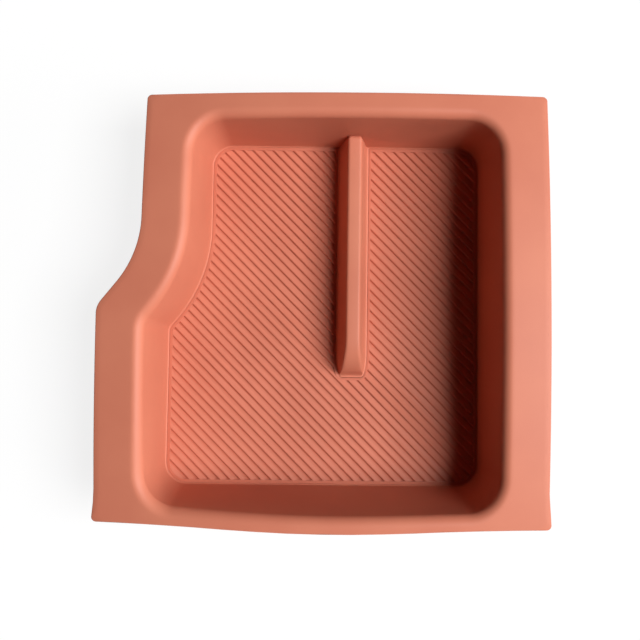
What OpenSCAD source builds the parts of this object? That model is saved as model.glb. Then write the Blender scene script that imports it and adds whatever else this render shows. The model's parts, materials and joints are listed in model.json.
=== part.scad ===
// Soft moulded storage tray: a crowned rim, a drafted tub with a curved notch in its left side,
// a half-length divider, and a loose ribbed mat that lies in a shallow pocket in the floor.
// +X right, +Y back, +Z up. The origin is under the middle of the rim, on the surface it stands on.

/* [Rim] */
// Width of the rim at its front corners, where it is widest
rim_w = 205; // [200:0.5:230]
// Depth of the rim from front to back
rim_d = 196; // [192:0.5:220]
// Height of the top of the dome that the rim follows, as the console around it does
crown_h = 53.8; // [42:0.2:70]
// Where the dome is highest, to the right of the middle
crown_x = 27; // [0:1:40]
// Radius of the dome
crown_r = 650; // [500:10:3000]
// Rounding of the four outer corners of the rim
rim_corner_r = 2; // [1:0.5:6]
// Rounding of the rim where the notch meets the left side
rim_knee_r = 9; // [4:0.5:14]
// How far the front edge bows out at its middle, and the front wall with it
front_bow = 2.2; // [0:0.1:3]
// How far the front corners are drawn out to the sides
corner_flare = 1.2; // [0:0.1:2]
// Length of side over which they are
flare_reach = 14; // [8:1:20]

/* [Tub] */
// Width of the floor's pocket for the mat
floor_w = 150; // [130:1:152]
// Depth of the floor's pocket for the mat, front to back
floor_d = 164; // [150:1:168]
// How far the floor lies towards the front of the rim
floor_forward = 1; // [0:0.1:3]
// Thickness of the walls, the rim and the floor
wall = 2; // [1.5:0.1:3]
// Draft of the walls at the sides, in degrees from upright
side_draft = 5.7; // [4:0.1:7]
// Draft of the walls at the front and back
end_draft = 7.8; // [6:0.1:8]
// Rounding between the walls and the rim
lip_r = 4.5; // [3.5:0.1:5.5]
// Rounding at the foot of the walls, above the pocket
foot_r = 0.6; // [0.3:0.1:1.5]
// Rounding of the pocket's corners
corner_r = 10; // [6:0.5:14]
// Rounding under the tub, between its walls and its base
base_r = 3; // [2:0.5:4]

/* [Notch] */
// How far the back half of the left side steps in
notch_in = 19.8; // [12:0.2:24]
// Where the step starts to curve out, from the middle of the rim
notch_y = 41; // [30:0.5:46]
// Radius of that curve along the floor
notch_r = 72; // [66:1:80]
// Slant at which the curve ends, in degrees from the left side
notch_turn = 40; // [34:1:44]
// Rounding of the floor where the slant meets the left side
knee_r = 4; // [2:0.5:8]

/* [Divider] */
// Middle of the divider, to the right of the middle of the rim
divider_x = 13.8; // [-10:0.1:30]
// Height of the divider above the mat
divider_h = 18; // [10:0.5:24]
// Width of the divider along its top
divider_top_w = 5.8; // [4:0.1:8]
// Width of the divider at its foot
divider_foot_w = 16.3; // [12:0.1:20]
// Length of the divider from the back of the floor to its nose
divider_l = 111.6; // [60:0.1:130]
// Rounding along the divider's top edges
divider_edge_r = 1; // [0.5:0.1:2]
// Radius on which the divider's sides close in beside its nose
nose_side_r = 30; // [24:1:60]
// How far they turn in, in degrees
nose_turn = 17; // [12:1:24]
// Rounding from there to the blunt end of the nose
nose_corner_r = 2.5; // [2:0.5:4]

/* [Mat] */
// Thickness of the mat, ribs included
mat_t = 2; // [1.5:0.1:3]
// Gap between the mat and the pocket around it
mat_gap = 0.3; // [0.3:0.1:0.8]
// Plain border around the ribs
mat_border = 2; // [1:0.1:4]
// Distance from one rib to the next
rib_pitch = 3.517; // [2.5:0.001:6]
// Width of a rib
rib_w = 1.6; // [1:0.1:2]
// Height of the ribs above the grooves between them
rib_h = 0.5; // [0.3:0.1:0.8]
// Shift of the whole pattern across the ribs
rib_shift = 2.6; // [0:0.05:3.5]

/* [Hidden] */

tray_colour = "#DC8068";
mat_colour = "#D97E66";

// Facets of each kind of rounding, and of each straight run between two of them.
corner_facets = 9;
notch_facets = 12;
knee_facets = 5;
run_facets = 10;
lip_facets = 5;
foot_facets = 2;
base_facets = 3;
nose_facets = 6;
nose_fn = 96;

// A place on the floor that sees the whole outline, where the floor's facets meet.
hub = [0, -20];

// Left, right, front and back sides of the floor's pocket and of the rim.
floor_sides = [-floor_w / 2, floor_w / 2, -floor_d / 2 - floor_forward, floor_d / 2 - floor_forward];
rim_half = rim_w / 2 - corner_flare;
rim_sides = [-rim_half, rim_half, -rim_d / 2 + front_bow, rim_d / 2];
pan_top = wall;
mat_top = pan_top + mat_t;

// Points of an arc about c, from angle a to angle b.
function arc(c, r, a, b, n) = [
    for (i = [0 : n]) let (t = a + (b - a) * i / n) c + r * [cos(t), sin(t)]
];

// Corners of the plan, as arcs that run the same way round on every level:
// front left, front right, back right, back left, the notch's curve and its knee.
function corners(s, round_r, curve_r, bend_r) =
    let (
        inner = s[0] + notch_in,
        curve_c = [inner - curve_r, notch_y],
        slant = [cos(notch_turn), -sin(notch_turn)],
        curve_end = curve_c + curve_r * slant,
        bend_x = s[0] + bend_r,
        bend_y = curve_end[1] - ((bend_x - curve_end[0]) * slant[0] - bend_r) / slant[1]
    )
    [
        arc([s[0] + round_r, s[2] + round_r], round_r, 180, 270, corner_facets),
        arc([s[1] - round_r, s[2] + round_r], round_r, 270, 360, corner_facets),
        arc([s[1] - round_r, s[3] - round_r], round_r, 0, 90, corner_facets),
        arc([inner + round_r, s[3] - round_r], round_r, 90, 180, corner_facets),
        arc(curve_c, curve_r, 0, -notch_turn, notch_facets),
        arc([bend_x, bend_y], bend_r, 180 - notch_turn, 180, knee_facets)
    ];

// The corners joined into one closed outline, with points along the straight runs too.
function outline(parts) = [
    for (i = [0 : len(parts) - 1])
        let (from = parts[i][len(parts[i]) - 1], to = parts[(i + 1) % len(parts)][0])
            each concat(parts[i], [for (k = [1 : run_facets - 1]) from + (to - from) * k / run_facets])
];

// The pocket's outline moved out by d, or in where d is negative.
function floor_outline(d) = outline(corners(
    [floor_sides[0] - d, floor_sides[1] + d, floor_sides[2] - d, floor_sides[3] + d],
    corner_r + d, notch_r - d, knee_r + d
));

// The rim's outer edge, with its front edge bowed out and its front corners drawn out.
rim_curve_r = notch_r - (floor_sides[0] - rim_sides[0]);
function swell(x) = pow((1 + cos(180 * x / rim_half)) / 2, 1.5);
function flare(p) =
    let (
        away = norm([abs(p[0]) - rim_half, p[1] - rim_sides[2]]) - rim_corner_r,
        near = max(0, 1 - max(0, away) / flare_reach)
    )
    [p[0] + sign(p[0]) * corner_flare * near * near, p[1]];
rim_outline = [
    for (p = outline(corners(rim_sides, rim_corner_r, rim_curve_r, rim_knee_r)))
        p[1] > rim_sides[2] + rim_corner_r ? flare(p) : flare(p) - [0, front_bow * swell(p[0])]
];

// Height of the rim's upper face, which lies on a shallow dome.
dome_top = [crown_x, 0];
function crown(p) = crown_h - crown_r + sqrt(pow(crown_r, 2) - (p - dome_top) * (p - dome_top));

pocket = floor_outline(0);
indices = [0 : len(pocket) - 1];

// How far the walls lean out as they rise, at each point of the outline: one draft at the sides and
// another at the ends, and the front wall bows out as the rim above it does.
outward = floor_outline(1) - pocket;
bow_lean = front_bow / (crown_h - mat_top);
lean = [
    for (i = indices)
        let (o = outward[i])
            [o[0] * tan(side_draft), o[1] * tan(end_draft) - max(0, -o[1]) * swell(pocket[i][0]) * bow_lean]
];
draft = [for (l = lean) atan(norm(l))];
out = [for (l = lean) l / norm(l)];

// Upright section through a wall of draft d, as [distance out from the pocket, height]: the rounding
// at its foot, how far out its inner face is at height z, and how far out a lip's centre there is.
function foot_point(d, share) =
    let (a = (90 - d) * share)
    [foot_r * sin(a), mat_top + foot_r * (1 - cos(a))];
function wall_at(d, z) = foot_point(d, 1)[0] + (z - foot_point(d, 1)[1]) * tan(d);
function lip_for(d, z) = wall_at(d, z + lip_r * sin(d)) + lip_r * cos(d);

// The lip's rounding touches the wall at one end and the dome at the other. Its centre is found
// for each point of the outline, with the angle at which the dome falls away there.
fall = [
    for (i = indices)
        asin(((pocket[i] - dome_top) * out[i] + lip_for(draft[i], crown_h - lip_r)) / crown_r)
];
function lip_centre(i, z) =
    crown(pocket[i] + (lip_for(draft[i], z) + lip_r * sin(fall[i])) * out[i]) - lip_r * cos(fall[i]);
lip_z = [for (i = indices) lip_centre(i, lip_centre(i, crown_h - lip_r))];
lip_out = [for (i = indices) lip_for(draft[i], lip_z[i])];

// A point at index i of the outline: d out from the pocket at height z, on the rounding at the foot,
// on the lip's rounding, on the rim, and on the rounding under the base.
function at(i, d, z) = [each (pocket[i] + d * out[i]), z];
function foot(i, share) =
    let (f = foot_point(draft[i], share))
    at(i, f[0], f[1]);
function lip(i, r, share) =
    let (a = draft[i] + (90 + fall[i] - draft[i]) * share)
    at(i, lip_out[i] - r * cos(a), lip_z[i] + r * sin(a));
function rim(i, share, drop) =
    let (
        inside = pocket[i] + (lip_out[i] + lip_r * sin(fall[i])) * out[i],
        p = inside + share * (rim_outline[i] - inside)
    )
    [each p, crown(p) - drop];
function base(i, a) = at(
    i,
    wall_at(draft[i], base_r) + wall / cos(draft[i]) - base_r * (1 - cos(a)),
    base_r * (1 - sin(a))
);

// The shell is one skin, a ring of points to each step: up the pocket and the inside of the tub,
// over the lip and the rim, back under the rim and down the outside.
rings = [
    [for (i = indices) at(i, 0, pan_top)],
    for (k = [0 : foot_facets]) [for (i = indices) foot(i, k / foot_facets)],
    for (k = [0 : lip_facets]) [for (i = indices) lip(i, lip_r, k / lip_facets)],
    [for (i = indices) rim(i, 0.5, 0)],
    [for (i = indices) rim(i, 1, 0)],
    [for (i = indices) rim(i, 1, wall)],
    [for (i = indices) rim(i, 0.5, wall)],
    for (k = [lip_facets : -1 : 0]) [for (i = indices) lip(i, lip_r - wall, k / lip_facets)],
    for (k = [0 : base_facets]) [for (i = indices) base(i, 90 * k / base_facets)]
];

// Rings of points joined into one closed skin, with its first and last rings filled in.
module skin(rings) {
    n = len(rings[0]);
    last = len(rings) - 1;
    first_hub = (last + 1) * n;
    last_hub = first_hub + 1;
    faces = [
        for (i = [0 : n - 1])
            let (j = (i + 1) % n)
                each concat(
                    [[first_hub, j, i], [last_hub, last * n + i, last * n + j]],
                    [for (r = [0 : last - 1]) [r * n + i, r * n + j, (r + 1) * n + i]],
                    [for (r = [0 : last - 1]) [r * n + j, (r + 1) * n + j, (r + 1) * n + i]]
                )
    ];
    hubs = [for (ring = [rings[0], rings[last]]) [each hub, ring[0][2]]];
    polyhedron(concat([for (ring = rings) each ring], hubs), faces);
}

// Half outlines are given from the outside in and mirrored about the divider's middle.
module mirrored(half) {
    polygon(concat(half, [for (i = [len(half) - 1 : -1 : 0]) [-half[i][0], half[i][1]]]));
}

// Plan of the divider moved out by d: straight sides that close in on a blunt nose.
divider_end = floor_sides[3] - divider_l;
nose_drop = (nose_side_r - nose_corner_r) * sin(nose_turn) + nose_corner_r;
module divider_plan(d) {
    side_c = [divider_foot_w / 2 - nose_side_r, divider_end + nose_drop];
    corner_c = side_c + (nose_side_r - nose_corner_r) * [cos(nose_turn), -sin(nose_turn)];
    translate([divider_x, 0])
        mirrored(concat(
            [[divider_foot_w / 2 + d, floor_sides[3] + divider_h]],
            arc(side_c, nose_side_r + d, 0, -nose_turn, nose_facets),
            arc(corner_c, nose_corner_r + d, -nose_turn, -90, nose_facets)
        ));
}

// Cross-section of the divider: an upright foot in the mat's cut-out, then tapered sides.
module divider_section() {
    taper = atan((divider_foot_w - divider_top_w) / 2 / divider_h);
    top = pan_top + mat_t + divider_h;
    edge_c = [divider_top_w / 2 - divider_edge_r * tan(45 - taper / 2), top - divider_edge_r];
    mirrored(concat(
        [[divider_foot_w / 2, pan_top], [divider_foot_w / 2, mat_top]],
        arc(edge_c, divider_edge_r, taper, 90, nose_facets)
    ));
}

// Side view of the divider: it follows the back wall's face, and its nose is a quarter round.
module divider_side() {
    back = floor_sides[3];
    nose_c = [divider_end + divider_h, mat_top];
    top = mat_top + divider_h;
    union() {
        polygon(concat(
            [[nose_c[0], pan_top], [back, pan_top]],
            [for (k = [0 : foot_facets]) [back, 0] + foot_point(end_draft, k / foot_facets)],
            [[back + wall_at(end_draft, top), top], [nose_c[0], top]]
        ));
        translate([divider_end, pan_top]) square([divider_h, mat_t]);
        intersection() {
            translate(nose_c) circle(divider_h, $fn = nose_fn);
            translate([divider_end, mat_top]) square([divider_h, divider_h]);
        }
    }
}

module tray_shell() {
    color(tray_colour) skin(rings);
}

// The section, the side view and the plan, each run through and intersected.
module divider() {
    color(tray_colour) intersection() {
        translate([divider_x, rim_d, 0]) rotate([90, 0, 0]) linear_extrude(2 * rim_d) divider_section();
        translate([divider_x - divider_foot_w, 0, 0]) rotate([90, 0, 90])
            linear_extrude(2 * divider_foot_w) divider_side();
        linear_extrude(crown_h) divider_plan(0);
    }
}

// Strips between the ribs, which run at 45 degrees from back left to front right.
module grooves() {
    span = rim_w + rim_d;
    count = ceil(span / rib_pitch / 2);
    groove_w = rib_pitch - rib_w;
    rotate(45)
        for (k = [-count : count])
            translate([k * rib_pitch + rib_shift - groove_w, -span / 2]) square([groove_w, span]);
}

// The mat's plan, d in from the pocket and clear of the divider's foot by as much.
module mat_plan(d) {
    difference() {
        polygon(floor_outline(-d));
        divider_plan(d);
    }
}

module floor_mat() {
    color(mat_colour) translate([0, 0, pan_top]) difference() {
        linear_extrude(mat_t) mat_plan(mat_gap);
        translate([0, 0, mat_t - rib_h]) linear_extrude(mat_t) intersection() {
            mat_plan(mat_border);
            grooves();
        }
    }
}

tray_shell();
divider();
floor_mat();
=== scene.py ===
# A soft storage tray moulded in TPE: a crowned rim round a notched tub, a half-length divider,
# and a loose ribbed mat in a shallow pocket in the floor.
# Sizes in the dictionaries of the pieces are millimetres and degrees.
import json
import math

import bmesh
import bpy
from mathutils import Matrix, Vector

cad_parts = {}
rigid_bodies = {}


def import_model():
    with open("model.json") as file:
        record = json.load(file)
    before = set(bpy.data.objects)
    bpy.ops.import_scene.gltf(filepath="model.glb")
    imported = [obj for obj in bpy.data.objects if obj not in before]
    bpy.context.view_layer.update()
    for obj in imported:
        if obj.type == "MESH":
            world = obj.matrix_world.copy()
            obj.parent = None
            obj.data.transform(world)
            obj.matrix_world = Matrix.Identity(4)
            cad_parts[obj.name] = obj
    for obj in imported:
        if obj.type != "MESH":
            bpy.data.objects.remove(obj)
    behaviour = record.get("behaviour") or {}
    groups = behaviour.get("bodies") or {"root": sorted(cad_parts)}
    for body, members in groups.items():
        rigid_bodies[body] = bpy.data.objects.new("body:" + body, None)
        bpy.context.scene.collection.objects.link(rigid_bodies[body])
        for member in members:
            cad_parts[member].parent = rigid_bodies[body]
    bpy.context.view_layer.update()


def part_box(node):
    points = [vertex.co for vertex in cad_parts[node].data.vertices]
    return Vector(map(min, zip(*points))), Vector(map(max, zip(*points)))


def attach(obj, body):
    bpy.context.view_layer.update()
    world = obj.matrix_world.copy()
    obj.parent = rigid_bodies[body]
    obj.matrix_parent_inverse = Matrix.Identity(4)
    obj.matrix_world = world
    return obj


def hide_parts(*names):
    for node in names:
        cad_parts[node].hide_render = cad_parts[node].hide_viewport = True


mm = 0.001
hair = 0.001 * mm  # vertices closer than this are one vertex
near = 0.01 * mm  # places closer than this count as the same
step = 0.1 * mm  # two rings of vertices this far apart can be told apart
cutPast = 1 * mm  # how far a cutting tool reaches past what it cuts
smoothTurn = 40  # edges that turn more than this stay sharp
for spare in list(bpy.data.objects):
    bpy.data.objects.remove(spare)
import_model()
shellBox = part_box("tray_shell")
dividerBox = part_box("divider")
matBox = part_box("floor_mat")
panTop = matBox[0].z  # the pan that the mat lies on
matTop = matBox[1].z
print("frame loaded")


def scaled(sizes):
    # lengths in metres; angles, shares, powers and counts stay as they are
    plain = ("Turn", "Draft", "Share", "Power", "Parts")
    return {key: value if key.endswith(plain) else value * mm for key, value in sizes.items()}


def startPen(name, point):
    # a plane merged to a single vertex, which the outline is then drawn from
    bpy.ops.object.select_all(action="DESELECT")
    bpy.ops.mesh.primitive_plane_add(size=10 * mm, location=point)
    piece = bpy.context.object
    piece.name = name
    piece.data.name = name
    bpy.ops.object.transform_apply(location=True, rotation=True, scale=True)
    bpy.ops.object.mode_set(mode="EDIT")
    bpy.ops.mesh.select_mode(type="VERT")
    bpy.ops.mesh.merge(type="CENTER")
    return piece


def drawLine(pen, end, parts=1):
    # goes on from the pen's place in equal parts, and gives its new place, as drawArc does
    for _ in range(parts):
        bpy.ops.mesh.extrude_vertices_move(TRANSFORM_OT_translate={"value": (end - pen) / parts})
    return end


def drawArc(pen, centre, degrees, parts, axis=(0, 0, 1)):
    # spin turns clockwise round its axis, so its angle changes sign
    bpy.ops.mesh.spin(steps=parts, angle=-math.radians(degrees), center=centre, axis=axis)
    return centre + Matrix.Rotation(math.radians(degrees), 3, Vector(axis)) @ (pen - centre)


def selectVerts(test):
    # in edit mode, picks vertices by their place
    bpy.ops.mesh.select_all(action="DESELECT")
    bpy.ops.mesh.select_mode(type="VERT")
    mesh = bmesh.from_edit_mesh(bpy.context.object.data)
    for vert in mesh.verts:
        vert.select = test(vert.co)
    mesh.select_flush(True)
    bmesh.update_edit_mesh(bpy.context.object.data)


def keepGroup(name):
    # remembers what is selected, to pick it again later
    piece = bpy.context.object
    group = piece.vertex_groups.get(name) or piece.vertex_groups.new(name=name)
    piece.vertex_groups.active_index = group.index
    bpy.ops.object.vertex_group_assign()


def selectLoop(name):
    # picks the level edges along a remembered ring; cuts made since then only belong to it in part
    bpy.ops.mesh.select_all(action="DESELECT")
    bpy.ops.mesh.select_mode(type="EDGE")
    piece = bpy.context.object
    mesh = bmesh.from_edit_mesh(piece.data)
    weights = mesh.verts.layers.deform.active
    ring = piece.vertex_groups[name].index
    steepest, fullWeight = 0.4, 0.99  # climb of a level edge, and weight of a vertex on the ring
    for edge in mesh.edges:
        level = abs(edge.verts[0].co.z - edge.verts[1].co.z) < steepest * edge.calc_length()
        edge.select = level and all(v[weights].get(ring, 0) > fullWeight for v in edge.verts)
    bmesh.update_edit_mesh(piece.data)


def roundEdges(offset, parts, kind="OFFSET"):
    # rounds the selected edges
    bpy.ops.mesh.bevel(
        offset=offset, offset_type=kind, segments=parts, profile=0.5, clamp_overlap=False
    )


def editPiece(piece):
    if bpy.context.mode != "OBJECT":
        bpy.ops.object.mode_set(mode="OBJECT")
    bpy.ops.object.select_all(action="DESELECT")
    piece.select_set(True)
    bpy.context.view_layer.objects.active = piece
    bpy.ops.object.mode_set(mode="EDIT")


def applyModifiers(piece):
    bpy.ops.object.mode_set(mode="OBJECT")
    bpy.context.view_layer.objects.active = piece
    for modifier in list(piece.modifiers):
        bpy.ops.object.modifier_apply(modifier=modifier.name)


def finishPiece(piece, body, node):
    # outward normals, smooth shading, and the body that it rides on
    editPiece(piece)
    bpy.ops.mesh.select_all(action="SELECT")
    bpy.ops.mesh.remove_doubles(threshold=hair)
    bpy.ops.mesh.normals_make_consistent(inside=False)
    bpy.ops.object.mode_set(mode="OBJECT")
    bpy.ops.object.shade_smooth_by_angle(angle=math.radians(smoothTurn))
    piece.vertex_groups.clear()
    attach(piece, body)
    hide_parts(node)
    print(piece.name, "made,", len(piece.data.polygons), "faces")


shell = scaled({
    "matGap": 0.3,  # between the mat's box and the pocket that it lies in
    "frontBow": 2.2,  # how far the rim's front edge bows out, and the front wall with it
    "bowPower": 1.5,  # 1 bows it evenly, and more draws the bow to the middle
    "cornerFlare": 1.2,  # how far the rim's front corners are drawn out to the sides
    "flareReach": 14,
    "crownHeight": 53.8,  # of the top of the dome that the rim follows
    "crownRight": 27,  # how far right of the middle the dome is highest
    "crownRadius": 650,
    "fallTurn": 4,  # slope of the dome at the lip, on average
    "lipShare": 0.6,  # of half the floor's depth: a place on the lip of average height
    "wall": 2,
    "sideDraft": 5.7,
    "endDraft": 7.4,
    "lipRadius": 4.5,
    "lipBand": 0.9,  # flat of the rim kept beside the lip's rounding
    "footRadius": 0.6,
    "cornerRadius": 10,
    "baseRadius": 3,
    "notchIn": 19.8,
    "notchAt": 41,
    "notchRadius": 72,
    "notchTurn": 40,
    "kneeRadius": 4,
    "rimCornerRadius": 2,
    "rimKneeRadius": 9,
    "rimEdge": 0.45,  # rounding of the rim's outer edge
    "pocketEdge": 0.15,
    "cornerParts": 14,
    "curveParts": 18,
    "kneeParts": 8,
    "runParts": 14,
    "wallParts": 4,
    "rimParts": 4,
    "castParts": 3,
    "lipParts": 9,
    "footParts": 4,
    "baseParts": 5,
    "rimEdgeParts": 3,
    "pocketEdgeParts": 2,
})
pocketSides = (
    matBox[0].x - shell["matGap"],
    matBox[1].x + shell["matGap"],
    matBox[0].y - shell["matGap"],
    matBox[1].y + shell["matGap"],
)
rimHalf = shellBox[1].x - shell["cornerFlare"]
rimSides = (-rimHalf, rimHalf, shellBox[0].y + shell["frontBow"], shellBox[1].y)
sideDraft = math.radians(shell["sideDraft"])
endDraft = math.radians(shell["endDraft"])


def swell(x):
    # how much of the front's bow there is at x
    return ((1 + math.cos(math.pi * x / rimHalf)) / 2) ** shell["bowPower"]


def drawNotched(name, sides, z, corner, curve, knee, bow=0):
    # the tray's closed outline, anticlockwise from its front left corner
    left, right, front, back = sides
    inner = left + shell["notchIn"]
    turn = math.radians(shell["notchTurn"])
    curveMid = Vector((inner - curve, shell["notchAt"], z))
    slant = Vector((math.cos(turn), -math.sin(turn), 0))
    curveEnd = curveMid + curve * slant
    kneeX = left + knee
    kneeY = curveEnd.y + ((kneeX - curveEnd.x) * slant.x - knee) / math.sin(turn)
    kneeMid = Vector((kneeX, kneeY, z))
    corners, runs = shell["cornerParts"], shell["runParts"]
    pen = start = Vector((left, front + corner, z))
    piece = startPen(name, pen)
    pen = drawArc(pen, Vector((left + corner, front + corner, z)), 90, corners)
    frontRun = right - left - 2 * corner
    for k in range(1, runs + 1):
        x = left + corner + frontRun * k / runs
        pen = drawLine(pen, Vector((x, front - bow * swell(x), z)))
    pen = drawArc(pen, Vector((right - corner, front + corner, z)), 90, corners)
    pen = drawLine(pen, Vector((right, back - corner, z)), runs)
    pen = drawArc(pen, Vector((right - corner, back - corner, z)), 90, corners)
    pen = drawLine(pen, Vector((inner + corner, back, z)), runs)
    pen = drawArc(pen, Vector((inner + corner, back - corner, z)), 90, corners)
    pen = drawLine(pen, Vector((inner, shell["notchAt"], z)), runs)
    pen = drawArc(pen, curveMid, -shell["notchTurn"], shell["curveParts"])
    kneeStart = kneeMid + knee * Vector((-math.cos(turn), math.sin(turn), 0))
    pen = drawLine(pen, kneeStart, runs)
    pen = drawArc(pen, kneeMid, shell["notchTurn"], shell["kneeParts"])
    drawLine(pen, start, runs)
    bpy.ops.mesh.select_all(action="SELECT")
    bpy.ops.mesh.remove_doubles(threshold=near)
    return piece


def drawPocket(name, z, out):
    # the pocket's outline, moved outwards
    left, right, front, back = pocketSides
    return drawNotched(
        name, (left - out, right + out, front - out, back + out), z,
        shell["cornerRadius"] + out, shell["notchRadius"] - out, shell["kneeRadius"] + out,
    )


def raiseRing(rise, spread=0):
    # the selected ring goes up, then out along its normals
    bpy.ops.mesh.extrude_edges_move(TRANSFORM_OT_translate={"value": (0, 0, rise)})
    if spread:
        bpy.ops.transform.shrink_fatten(value=spread, use_even_offset=True)


def raiseWall(rise):
    # one more ring of wall, with one draft at the sides, another at the ends, and the front's bow
    bpy.ops.mesh.extrude_edges_move(TRANSFORM_OT_translate={"value": (0, 0, rise)})
    mesh = bmesh.from_edit_mesh(bpy.context.object.data)
    bow = shell["frontBow"] / (shell["crownHeight"] - matTop)
    for vert in mesh.verts:
        if vert.select:
            out = vert.normal
            vert.co.x += rise * out.x * math.tan(sideDraft)
            bowed = max(0, -out.y) * swell(vert.co.x) * bow
            vert.co.y += rise * (out.y * math.tan(endDraft) - bowed)
    bmesh.update_edit_mesh(bpy.context.object.data)


def raiseFirst(rise, z):
    # the first faces on an outline, turned to point outwards, which all later ones follow
    raiseRing(rise)
    bpy.ops.mesh.select_all(action="SELECT")
    bpy.ops.mesh.normals_make_consistent(inside=False)
    selectVerts(lambda v: v.z > z + rise / 2)


def crownRim(piece, lipHeight, drop, lipRadius):
    # a flange from the wall's top ring to the rim's edge, laid on the dome, with a rounded lip
    keepGroup("lip")
    raiseRing(step, lipRadius + shell["lipBand"])
    bpy.ops.object.vertex_group_remove_from()
    bpy.ops.object.mode_set(mode="OBJECT")
    rimCurve = shell["notchRadius"] - (pocketSides[0] - rimSides[0])
    rim = drawNotched(
        "rimOutline", rimSides, lipHeight,
        shell["rimCornerRadius"], rimCurve, shell["rimKneeRadius"], shell["frontBow"],
    )
    keepGroup("rimEdge")
    cornerTop = rimSides[2] + shell["rimCornerRadius"] + near
    for side in (-1, 1):  # the front corners are drawn out, and the edges beside them ever less
        cornerSide = rimHalf - shell["rimCornerRadius"] - near
        selectVerts(lambda v: v.y < cornerTop and v.x * side > cornerSide)
        bpy.ops.transform.translate(
            value=(side * shell["cornerFlare"], 0, 0), use_proportional_edit=True,
            proportional_edit_falloff="SHARP", proportional_size=shell["flareReach"],
        )
    bpy.ops.object.mode_set(mode="OBJECT")
    rim.select_set(True)
    piece.select_set(True)
    bpy.context.view_layer.objects.active = piece
    bpy.ops.object.join()
    bpy.ops.object.mode_set(mode="EDIT")
    bpy.ops.mesh.select_all(action="DESELECT")
    bpy.ops.mesh.select_mode(type="EDGE")
    mesh = bmesh.from_edit_mesh(piece.data)
    for ring in mesh.edges:  # the flange's edge so far, and the rim's outline
        ring.select = len(ring.link_faces) < 2 and ring.verts[0].co.z > lipHeight - step / 2
    bmesh.update_edit_mesh(piece.data)
    bpy.ops.mesh.bridge_edge_loops(number_cuts=shell["rimParts"], interpolation="LINEAR")
    selectVerts(lambda v: v.z > lipHeight - step / 2)
    keepGroup("onDome")
    bpy.ops.object.mode_set(mode="OBJECT")
    bpy.ops.object.empty_add(
        location=(shell["crownRight"], 0, shell["crownHeight"] - drop - shell["crownRadius"])
    )
    domeMiddle = bpy.context.object
    for _ in range(shell["castParts"]):  # each cast closes in on the dome straight up and down
        cast = piece.modifiers.new("dome", "CAST")
        cast.cast_type = "SPHERE"
        cast.object = domeMiddle
        cast.vertex_group = "onDome"
        cast.factor = 1
        cast.radius = 0
        cast.size = shell["crownRadius"]
        cast.use_radius_as_size = False
        cast.use_x = cast.use_y = False
    applyModifiers(piece)
    bpy.data.objects.remove(domeMiddle)
    editPiece(piece)
    selectLoop("lip")
    halfTurn = math.radians((90 + shell["fallTurn"]) / 2) - sideDraft / 2
    roundEdges(lipRadius * math.tan(halfTurn), shell["lipParts"])


# height at which the walls meet the dome, on average round the lip
reach = Vector((pocketSides[1], pocketSides[3] * shell["lipShare"], shell["crownRight"])).length
lipHeight = shell["crownHeight"] - reach**2 / (2 * shell["crownRadius"])

# inside: pocket, rounding at the foot, drafted wall
trayShell = drawPocket("trayShell", panTop, 0)
raiseFirst(matTop - panTop, panTop)
footStep = (math.pi / 2 - sideDraft) / shell["footParts"]
for k in range(shell["footParts"]):
    raiseRing(
        shell["footRadius"] * (math.cos(k * footStep) - math.cos((k + 1) * footStep)),
        shell["footRadius"] * (math.sin((k + 1) * footStep) - math.sin(k * footStep)),
    )
footTop = matTop + shell["footRadius"] * (1 - math.sin(sideDraft))
for _ in range(shell["wallParts"]):
    raiseWall((lipHeight - footTop) / shell["wallParts"])
crownRim(trayShell, lipHeight, 0, shell["lipRadius"])
selectVerts(lambda v: abs(v.z - matTop) < near)
roundEdges(shell["pocketEdge"], shell["pocketEdgeParts"])
selectVerts(lambda v: v.z < panTop + step)
bpy.ops.mesh.edge_face_add()
bpy.ops.object.mode_set(mode="OBJECT")
print("inside of the tub drawn")

# outside: base, wall a constant thickness away, underside of the rim
wallOut = (
    shell["footRadius"] * math.cos(sideDraft)
    - footTop * math.tan(sideDraft)
    + shell["wall"] / math.cos(sideDraft)
)
underShell = drawPocket("underShell", 0, wallOut)
underHeight = lipHeight - shell["wall"]
firstRise = shell["baseRadius"] / 2
raiseFirst(firstRise, 0)
for _ in range(shell["wallParts"]):
    raiseWall((underHeight - firstRise) / shell["wallParts"])
crownRim(underShell, underHeight, shell["wall"], shell["lipRadius"] - shell["wall"])
selectVerts(lambda v: v.z < step)
bpy.ops.mesh.edge_face_add()
bpy.ops.mesh.select_mode(type="EDGE")
roundEdges(shell["baseRadius"], shell["baseParts"])
bpy.ops.object.mode_set(mode="OBJECT")

# the two skins meet round the rim's edge
trayShell.select_set(True)
bpy.context.view_layer.objects.active = trayShell
bpy.ops.object.join()
bpy.ops.object.mode_set(mode="EDIT")
bpy.ops.mesh.select_all(action="DESELECT")
bpy.ops.mesh.select_mode(type="EDGE")
bpy.ops.mesh.select_non_manifold(extend=False)
bpy.ops.mesh.bridge_edge_loops()
bpy.ops.mesh.select_all(action="SELECT")
bpy.ops.mesh.normals_make_consistent(inside=False)
selectLoop("rimEdge")
roundEdges(shell["rimEdge"], shell["rimEdgeParts"], "ABSOLUTE")
finishPiece(trayShell, "tray", "tray_shell")

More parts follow.
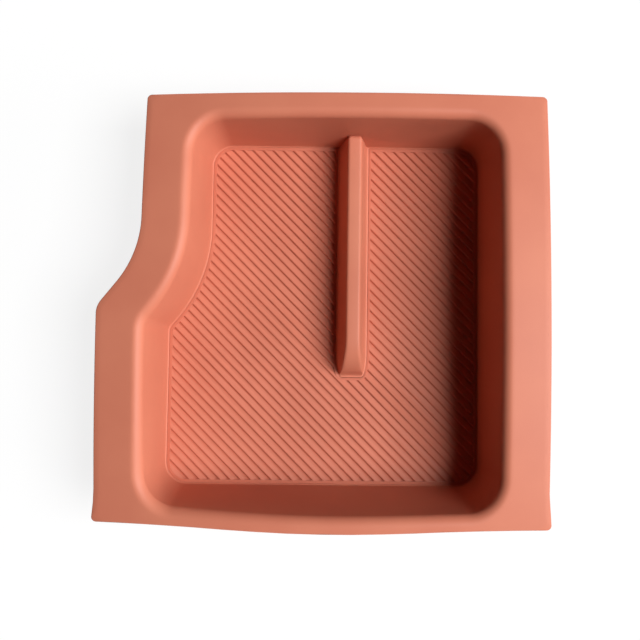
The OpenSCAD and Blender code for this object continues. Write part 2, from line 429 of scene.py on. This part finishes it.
divider = scaled({
    "footIn": 0.54,  # how far the foot is drawn in at each side
    "footLeft": 0.19,  # the middle of the foot lies this far left
    "ridgeRight": 0.46,  # and the middle of the top this far right
    "noseAhead": 1.3,  # how far the end of the nose is drawn out
    "sideDraft": 11.1,
    "footRadius": 1,
    "noseFoot": 2,  # rounding at the foot of the nose
    "backRadius": 2,  # and of the back end into the back wall
    "backReach": 4,  # how far the back end is drawn before the wall cuts it off
    "edgeRadius": 1.5,
    "noseSideRadius": 30,  # the sides close in beside the nose
    "noseTurn": 17,
    "noseCornerRadius": 2.5,
    "noseParts": 12,
    "footParts": 5,
    "edgeParts": 6,
    "backParts": 10,
    "ridgeShare": 0.6,  # above this share of its height a section is all ridge
})
sectionsBack = (80 * mm, 50 * mm)  # plain sections, this far behind the end of the nose
footDegrees = (0, 30, 60, 84)  # sections round the foot of the nose
dividerX = (dividerBox[0].x + dividerBox[1].x) / 2 - divider["footLeft"]
halfFoot = (dividerBox[1].x - dividerBox[0].x) / 2 - divider["footIn"]
dividerHigh = dividerBox[1].z - matTop
noseEnd = dividerBox[0].y - divider["noseAhead"]
backEdge = pocketSides[3]
tilt = math.radians(divider["sideDraft"])
foot, edge = divider["footRadius"], divider["edgeRadius"]
faceFoot = Vector((halfFoot - foot * math.cos(tilt), matTop + foot * (1 - math.sin(tilt))))
faceRun = (dividerBox[1].z - edge - faceFoot.y) * math.sin(tilt)
edgeX = faceFoot.x - (edge + faceRun) / math.cos(tilt)


def noseHalf(t):
    # half width of the foot at a distance t from the end of the nose
    side, corner = divider["noseSideRadius"], divider["noseCornerRadius"]
    turn = math.radians(divider["noseTurn"])
    cornerMid = (halfFoot - side + (side - corner) * math.cos(turn), corner)
    sideStart = corner + (side - corner) * math.sin(turn)
    if t >= sideStart:
        return halfFoot
    if t > corner * (1 - math.sin(turn)):
        return halfFoot - side + math.sqrt(side**2 - (sideStart - t) ** 2)
    return cornerMid[0] + math.sqrt(corner**2 - (corner - t) ** 2)


def placeAt(x, z):
    return Vector((dividerX + x, backEdge, z))


# section across the divider, from its right foot over the top to its left foot
pen = placeAt(halfFoot, matTop)
dividerWall = startPen("dividerWall", pen)
along = (0, -1, 0)
footTurn = 90 - divider["sideDraft"]
pen = drawArc(pen, placeAt(halfFoot, matTop + foot), -footTurn, divider["footParts"], along)
topZ = dividerBox[1].z
pen = drawLine(pen, placeAt(edgeX + edge * math.cos(tilt), topZ - edge + edge * math.sin(tilt)))
pen = drawArc(pen, placeAt(edgeX, topZ - edge), footTurn, divider["edgeParts"], along)
pen = drawLine(pen, placeAt(-edgeX, topZ))
pen = drawArc(pen, placeAt(-edgeX, topZ - edge), footTurn, divider["edgeParts"], along)
pen = drawLine(pen, placeAt(-faceFoot.x, faceFoot.y))
pen = drawArc(pen, placeAt(-halfFoot, matTop + foot), -footTurn, divider["footParts"], along)


def stepNose(t, high, ridge, last):
    # one more section, with its ridge lowered onto the nose and its foot drawn in
    y = noseEnd + t
    middle = Vector((dividerX, y, matTop))
    ridgeFrom = matTop + divider["ridgeShare"] * last["high"]
    selectVerts(lambda v: abs(v.y - last["y"]) < hair)
    bpy.ops.mesh.extrude_edges_move(TRANSFORM_OT_translate={"value": (0, y - last["y"], 0)})
    selectVerts(lambda v: abs(v.y - y) < hair and v.z > ridgeFrom)
    bpy.ops.transform.resize(
        value=(ridge / last["ridge"], 1, high / last["high"]), center_override=middle
    )
    low = min(high, foot) / min(last["high"], foot)
    selectVerts(lambda v: abs(v.y - y) < hair and v.z <= min(ridgeFrom, matTop + foot))
    bpy.ops.transform.resize(value=(noseHalf(t) / last["half"], 1, low), center_override=middle)
    return {"y": y, "high": high, "ridge": ridge, "half": noseHalf(t)}


lean = math.tan(tilt)
# how far in from the foot's edge the face would meet the mat's level
footLean = halfFoot - faceFoot.x - (faceFoot.y - matTop) * lean


def ridgeHalf(t, high):
    # half width of the ridge, which leans in as far as there is nose in front of it
    return noseHalf(t) - min(t, footLean + lean * high)


fullRidge = halfFoot - (footLean + lean * dividerHigh)
section = {"y": backEdge, "high": dividerHigh, "ridge": fullRidge, "half": halfFoot}
for t in sectionsBack:
    section = stepNose(t, dividerHigh, ridgeHalf(t, dividerHigh), section)
for k in range(divider["noseParts"]):  # a quarter round
    angle = math.radians(90 - 90 * k / divider["noseParts"])
    t = divider["noseFoot"] + dividerHigh * (1 - math.cos(angle))
    high = dividerHigh * math.sin(angle)
    section = stepNose(t, high, ridgeHalf(t, high), section)
for degrees in footDegrees:  # and the rounding at its foot
    angle = math.radians(degrees)
    t = divider["noseFoot"] * math.cos(angle)
    high = divider["noseFoot"] * (1 - math.sin(angle))
    section = stepNose(t, high, ridgeHalf(t, high), section)

# the right side is steeper than the left one
mesh = bmesh.from_edit_mesh(dividerWall.data)
for vert in mesh.verts:
    vert.co.x += (divider["footLeft"] + divider["ridgeRight"]) * (vert.co.z - matTop) / dividerHigh

# the foot goes down to the pan, and the back end follows the back wall
bpy.ops.mesh.select_all(action="DESELECT")
bpy.ops.mesh.select_mode(type="EDGE")
mesh = bmesh.from_edit_mesh(dividerWall.data)
for side in mesh.edges:
    atBack = all(v.co.y > backEdge - step for v in side.verts)
    side.select = len(side.link_faces) == 1 and not atBack
bmesh.update_edit_mesh(dividerWall.data)
bpy.ops.mesh.extrude_edges_move(TRANSFORM_OT_translate={"value": (0, 0, panTop - matTop)})
bpy.ops.transform.resize(value=(1, 1, 0), center_override=(dividerX, 0, panTop))
bpy.ops.mesh.select_mode(type="VERT")
bpy.ops.mesh.edge_face_add()
selectVerts(lambda v: v.y > backEdge - step)
bpy.ops.mesh.edge_face_add()
bpy.ops.mesh.select_mode(type="FACE")
backStep = divider["backReach"] / divider["backParts"]
for _ in range(divider["backParts"]):
    bpy.ops.mesh.extrude_region_move(TRANSFORM_OT_translate={"value": (0, backStep, 0)})
wallFoot = Vector((0, backEdge + shell["footRadius"] * math.cos(endDraft), footTop))
wallNormal = Vector((0, math.cos(endDraft), -math.sin(endDraft)))
back = divider["backRadius"]
mesh = bmesh.from_edit_mesh(dividerWall.data)
mesh.normal_update()
for vert in mesh.verts:  # widened towards the wall, less and less so down to the foot
    off = max(0, (wallFoot - vert.co).dot(wallNormal))
    rise = min(1, max(0, (vert.co.z - matTop) / (2 * back)))
    if off < back and rise:
        out = Vector((vert.normal.x, 0, vert.normal.z)).normalized()
        vert.co += out * rise * (back - math.sqrt(back**2 - (back - off) ** 2))
bpy.ops.mesh.select_all(action="SELECT")
bpy.ops.mesh.bisect(plane_co=wallFoot, plane_no=wallNormal, clear_outer=True, use_fill=True)
finishPiece(dividerWall, "tray", "divider")

mat = scaled({
    "gap": 0.08,  # all that shows between the mat and its pocket
    "border": 1.6,
    "footBorder": 1.2,  # the same, round the divider
    "ribTurn": 45,
    "ribPitch": 3.517,
    "spanShare": 1.5,  # the ribs' length in rim widths, enough to cover the mat when turned
    "ribHigh": 1.0,
    "valleyRise": 0.1,  # how far a valley climbs to the front side of the next rib
    "steepTurn": 62,  # slope of a rib's front side
    "easyTurn": 27,  # and of its back side
    "crestRadius": 0.6,  # rounding between them
    "crest": 0.05,  # half of the flat that is left along the top
    "crestAt": 3.05,  # across the ribs from the middle of the rim
    "edgeRadius": 0.15,
    "crestParts": 3,
    "planParts": 8,
    "edgeParts": 2,
})
pastWall = 20 * mm  # how far the cutter round the divider runs out at the back


def raisePlate(low, high):
    # fills the outline and makes it a plate
    bpy.ops.mesh.edge_face_add()
    bpy.ops.mesh.extrude_region_move(TRANSFORM_OT_translate={"value": (0, 0, high - low)})
    bpy.ops.mesh.select_all(action="SELECT")
    bpy.ops.mesh.normals_make_consistent(inside=False)
    bpy.ops.object.mode_set(mode="OBJECT")


def drawFoot(name, low, high, out):
    # the divider's plan moved outwards, and made a plate that runs out at the back
    side, corner = divider["noseSideRadius"] + out, divider["noseCornerRadius"] + out
    half, turn = halfFoot + out, math.radians(divider["noseTurn"])
    endY = noseEnd - out
    sideY = endY + corner + (side - corner) * math.sin(turn)
    cornerX = half - side + (side - corner) * math.cos(turn)
    backY = backEdge + pastWall
    sideTurn, cornerTurn = divider["noseTurn"], 90 - divider["noseTurn"]
    parts = mat["planParts"]
    pen = Vector((dividerX - half, backY, low))
    plate = startPen(name, pen)
    pen = drawLine(pen, Vector((dividerX - half, sideY, low)))
    pen = drawArc(pen, Vector((dividerX - half + side, sideY, low)), sideTurn, parts)
    pen = drawArc(pen, Vector((dividerX - cornerX, endY + corner, low)), cornerTurn, parts)
    pen = drawLine(pen, Vector((dividerX + cornerX, endY, low)))
    pen = drawArc(pen, Vector((dividerX + cornerX, endY + corner, low)), cornerTurn, parts)
    pen = drawArc(pen, Vector((dividerX + half - side, sideY, low)), sideTurn, parts)
    drawLine(pen, Vector((dividerX + half, backY, low)))
    bpy.ops.mesh.select_all(action="SELECT")
    raisePlate(low, high)
    return plate


def cut(piece, tool, operation="DIFFERENCE"):
    # cuts the tool out of the piece, or the piece down to the tool, and clears the tool away
    boolean = piece.modifiers.new("cut", "BOOLEAN")
    boolean.operation = operation
    boolean.solver = "EXACT"
    boolean.object = tool
    applyModifiers(piece)
    bpy.data.objects.remove(tool)


# one groove, a bar between two round ribs, repeated across the mat
span = (rimSides[1] - rimSides[0] + rimSides[3] - rimSides[2]) / 2 * mat["spanShare"]
count = math.ceil(span / mat["ribPitch"])
radius, high, halfPitch = mat["crestRadius"], mat["ribHigh"], mat["ribPitch"] / 2
crestTurn = math.degrees(math.asin(mat["crest"] / radius))
across = (0, 1, 0)


def footFrom(arcEnd, turn, side, deep):
    # where a rib's side, which leaves the rounding of its crest at arcEnd, meets the valley
    fall = arcEnd.z + deep
    return arcEnd + Vector((side * fall / math.tan(math.radians(turn)), 0, -fall))


def fromMiddle(turn):
    # from the middle of a crest's rounding to the place on it that is turned this far from the top
    return radius * Vector((math.sin(math.radians(turn)), 0, math.cos(math.radians(turn))))


nextRib = Vector((halfPitch, -span / 2, -radius))
lastRib = Vector((-halfPitch, -span / 2, -radius))
easyEnd = lastRib + fromMiddle(mat["easyTurn"])
pen = nextRib + Vector((-mat["crest"], 0, radius + high))
grooves = startPen("grooves", pen)
pen = drawLine(pen, nextRib + fromMiddle(-crestTurn))
pen = drawArc(pen, nextRib, crestTurn - mat["steepTurn"], mat["crestParts"], across)
pen = drawLine(pen, footFrom(pen, mat["steepTurn"], -1, high - mat["valleyRise"]))
pen = drawLine(pen, footFrom(easyEnd, mat["easyTurn"], 1, high))
pen = drawLine(pen, easyEnd)
pen = drawArc(pen, lastRib, crestTurn - mat["easyTurn"], mat["crestParts"], across)
drawLine(pen, lastRib + Vector((mat["crest"], 0, radius + high)))
bpy.ops.mesh.select_all(action="SELECT")
bpy.ops.mesh.edge_face_add()
bpy.ops.mesh.extrude_region_move(TRANSFORM_OT_translate={"value": (0, span, 0)})
bpy.ops.mesh.select_all(action="SELECT")
bpy.ops.mesh.normals_make_consistent(inside=False)
row = grooves.modifiers.new("row", "ARRAY")
row.use_relative_offset = False
row.use_constant_offset = True
row.constant_offset_displace = (mat["ribPitch"], 0, 0)
row.count = count
applyModifiers(grooves)
editPiece(grooves)
bpy.ops.mesh.select_all(action="SELECT")
firstX = mat["crestAt"] - halfPitch - (count // 2) * mat["ribPitch"]
bpy.ops.transform.translate(value=(firstX, 0, matTop))
bpy.ops.transform.rotate(
    value=-math.radians(mat["ribTurn"]), orient_axis="Z", center_override=(0, 0, 0)
)
bpy.ops.object.mode_set(mode="OBJECT")

ribZone = drawPocket("ribZone", matTop - 2 * high, -mat["border"])
raisePlate(matTop - 2 * high, matTop + high / 2)
cut(ribZone, drawFoot("footZone", panTop - cutPast, matTop + 2 * cutPast, mat["footBorder"]))
cut(grooves, ribZone, "INTERSECT")

ribbedMat = drawPocket("ribbedMat", panTop, -mat["gap"])
raisePlate(panTop, matTop)
cut(ribbedMat, drawFoot("footHole", panTop - cutPast, matTop + cutPast, mat["gap"]))
editPiece(ribbedMat)
selectVerts(lambda v: v.z > matTop - near)
roundEdges(mat["edgeRadius"], mat["edgeParts"])
bpy.ops.object.mode_set(mode="OBJECT")
cut(ribbedMat, grooves)
finishPiece(ribbedMat, "mat", "floor_mat")


def colour(code):
    # an sRGB hex value as a linear colour
    parts = [int(code[k : k + 2], 16) / 255 for k in (1, 3, 5)]
    return (*(p / 12.92 if p <= 0.04045 else ((p + 0.055) / 1.055) ** 2.4 for p in parts), 1)


def addNode(tree, kind, inputs=None, **settings):
    # a node with its settings, and a value or a link for each named input
    node = tree.nodes.new("ShaderNode" + kind)
    for key, value in settings.items():
        setattr(node, key, value)
    for key, value in (inputs or {}).items():
        if isinstance(value, bpy.types.NodeSocket):
            tree.links.new(value, node.inputs[key])
        else:
            node.inputs[key].default_value = value
    return node


def newMaterial(name):
    material = bpy.data.materials.new(name)
    material.use_nodes = True
    material.node_tree.nodes.clear()
    return material, material.node_tree


def mouldedTpe(name, look):
    # TPE injected into a spark-eroded mould, which leaves it satin, with a fine even grain
    # and a little mottling where the melt flowed
    material, tree = newMaterial(name)
    place = addNode(tree, "TexCoord").outputs["Object"]
    mottle = addNode(tree, "TexNoise", {
        "Vector": place, "Scale": 1 / (look["mottleSize"] * mm), "Detail": look["mottleDetail"],
    })
    tone = addNode(tree, "ValToRGB", {"Fac": mottle.outputs["Fac"]})
    for stop, share, shade in zip(tone.color_ramp.elements, look["stops"], ("deep", "pale")):
        stop.position = share
        stop.color = colour(look[shade])
    grain = addNode(tree, "TexNoise", {
        "Vector": place, "Scale": 1 / (look["grainSize"] * mm),
        "Detail": look["grainDetail"], "Roughness": look["grainRoughness"],
    })
    rough = addNode(tree, "MapRange", {
        "Value": mottle.outputs["Fac"], "To Min": look["roughLow"], "To Max": look["roughHigh"],
    })
    bump = addNode(tree, "Bump", {
        "Height": grain.outputs["Fac"],
        "Strength": look["grainStrength"], "Distance": look["grainDeep"] * mm,
    })
    surface = addNode(tree, "BsdfPrincipled", {
        "Base Color": tone.outputs["Color"], "Roughness": rough.outputs["Result"],
        "Normal": bump.outputs["Normal"], "IOR": look["ior"], "Specular IOR Level": look["shine"],
    })
    addNode(tree, "OutputMaterial", {"Surface": surface.outputs["BSDF"]})
    return material


trayLook = {
    "deep": "#C4725A",
    "pale": "#CC7B61",
    "stops": (0.3, 0.7),  # where the mottling is all deep, and all pale
    "mottleSize": 45,
    "mottleDetail": 4,
    "grainSize": 0.7,  # the real grain is about 0.2 mm, drawn this coarse to show
    "grainDeep": 0.05,
    "grainDetail": 3,
    "grainRoughness": 0.6,
    "grainStrength": 0.5,
    "roughLow": 0.44,
    "roughHigh": 0.54,
    "ior": 1.5,
    "shine": 0.25,  # 0.5 is a plain plastic's
}
matLook = dict(trayLook)
# painted shade: the mat is the tray's TPE made a little darker, for the floor that lies deep in the
# tub
matLook.update(deep="#BE6C55", pale="#C7745C", grainDeep=0.06, roughLow=0.46, roughHigh=0.56)
trayTpe = mouldedTpe("mouldedTpeTray", trayLook)
matTpe = mouldedTpe("mouldedTpeMat", matLook)
for piece, material in ((trayShell, trayTpe), (dividerWall, trayTpe), (ribbedMat, matTpe)):
    piece.data.materials.clear()
    piece.data.materials.append(material)
print("materials made")

studio = {  # metres, degrees and watts
    "paper": "#F2F2F2",
    "white": "#FFFFFF",
    "floorSize": 12,
    "floorShare": 0.85,  # of the floor's white that the camera sees whatever falls on it
    "ambient": 0.01,
    "lightTurn": -8,  # of both lights, from the right and a little to the front
    "keyElevation": 53.5,
    "keyDistance": 8,
    "keySize": 4.5,
    "keyPower": 940,
    "lowElevation": 16,  # this one only reaches what faces it, over the tray's right wall
    "lowDistance": 8,
    "lowSize": 3,
    "lowPower": 240,
}
bpy.ops.object.select_all(action="DESELECT")
bpy.ops.mesh.primitive_plane_add(size=studio["floorSize"], location=(0, 0, 0))
floor = bpy.context.object
floor.name = "floor"
paper, tree = newMaterial("whitePaper")
seen = addNode(tree, "LightPath")
inView = addNode(
    tree, "Math", {0: seen.outputs["Is Camera Ray"], 1: seen.outputs["Is Glossy Ray"]},
    operation="MAXIMUM",
)
share = addNode(
    tree, "Math", {0: inView.outputs[0], 1: studio["floorShare"]}, operation="MULTIPLY"
)
lit = addNode(tree, "BsdfDiffuse", {"Color": colour(studio["paper"])})
white = addNode(tree, "Emission", {"Color": colour(studio["white"]), "Strength": 1.0})
both = addNode(tree, "MixShader", {0: share.outputs[0], 1: lit.outputs[0], 2: white.outputs[0]})
addNode(tree, "OutputMaterial", {"Surface": both.outputs[0]})
floor.data.materials.append(paper)

world = bpy.data.worlds.new("studioWorld")
bpy.context.scene.world = world
world.use_nodes = True
world.node_tree.nodes.clear()
tree = world.node_tree
seen = addNode(tree, "LightPath")
sky = addNode(tree, "Background", {"Color": colour(studio["white"]), "Strength": studio["ambient"]})
backdrop = addNode(tree, "Background", {"Color": colour(studio["white"]), "Strength": 1.0})
both = addNode(tree, "MixShader", {
    0: seen.outputs["Is Camera Ray"], 1: sky.outputs[0], 2: backdrop.outputs[0],
})
addNode(tree, "OutputWorld", {"Surface": both.outputs[0]})


def addLight(name):
    # a square lamp that faces the tray
    elevation = math.radians(studio[name + "Elevation"])
    turn = math.radians(studio["lightTurn"])
    level = math.cos(elevation)
    toLight = Vector((level * math.cos(turn), level * math.sin(turn), math.sin(elevation)))
    bpy.ops.object.light_add(type="AREA", location=toLight * studio[name + "Distance"])
    light = bpy.context.object
    light.name = name + "Light"
    light.rotation_euler = toLight.to_track_quat("Z", "Y").to_euler()
    light.data.size = studio[name + "Size"]
    light.data.energy = studio[name + "Power"]


addLight("key")
addLight("low")

view = {  # metres and radians, and millimetres for the lens and the sensor
    "place": (0.0101, -0.009, 0.449),
    "turn": (0.0682, -0.0056, 0.01178),
    "lens": 51.15,
    "sensor": 36,
    "shift": (-0.0457, -0.0807),
}
bpy.ops.object.camera_add(location=view["place"], rotation=view["turn"])
camera = bpy.context.object
camera.data.lens = view["lens"]
camera.data.sensor_width = view["sensor"]
camera.data.shift_x, camera.data.shift_y = view["shift"]
bpy.context.scene.camera = camera
bpy.context.scene.view_settings.view_transform = "Standard"
print("studio set")
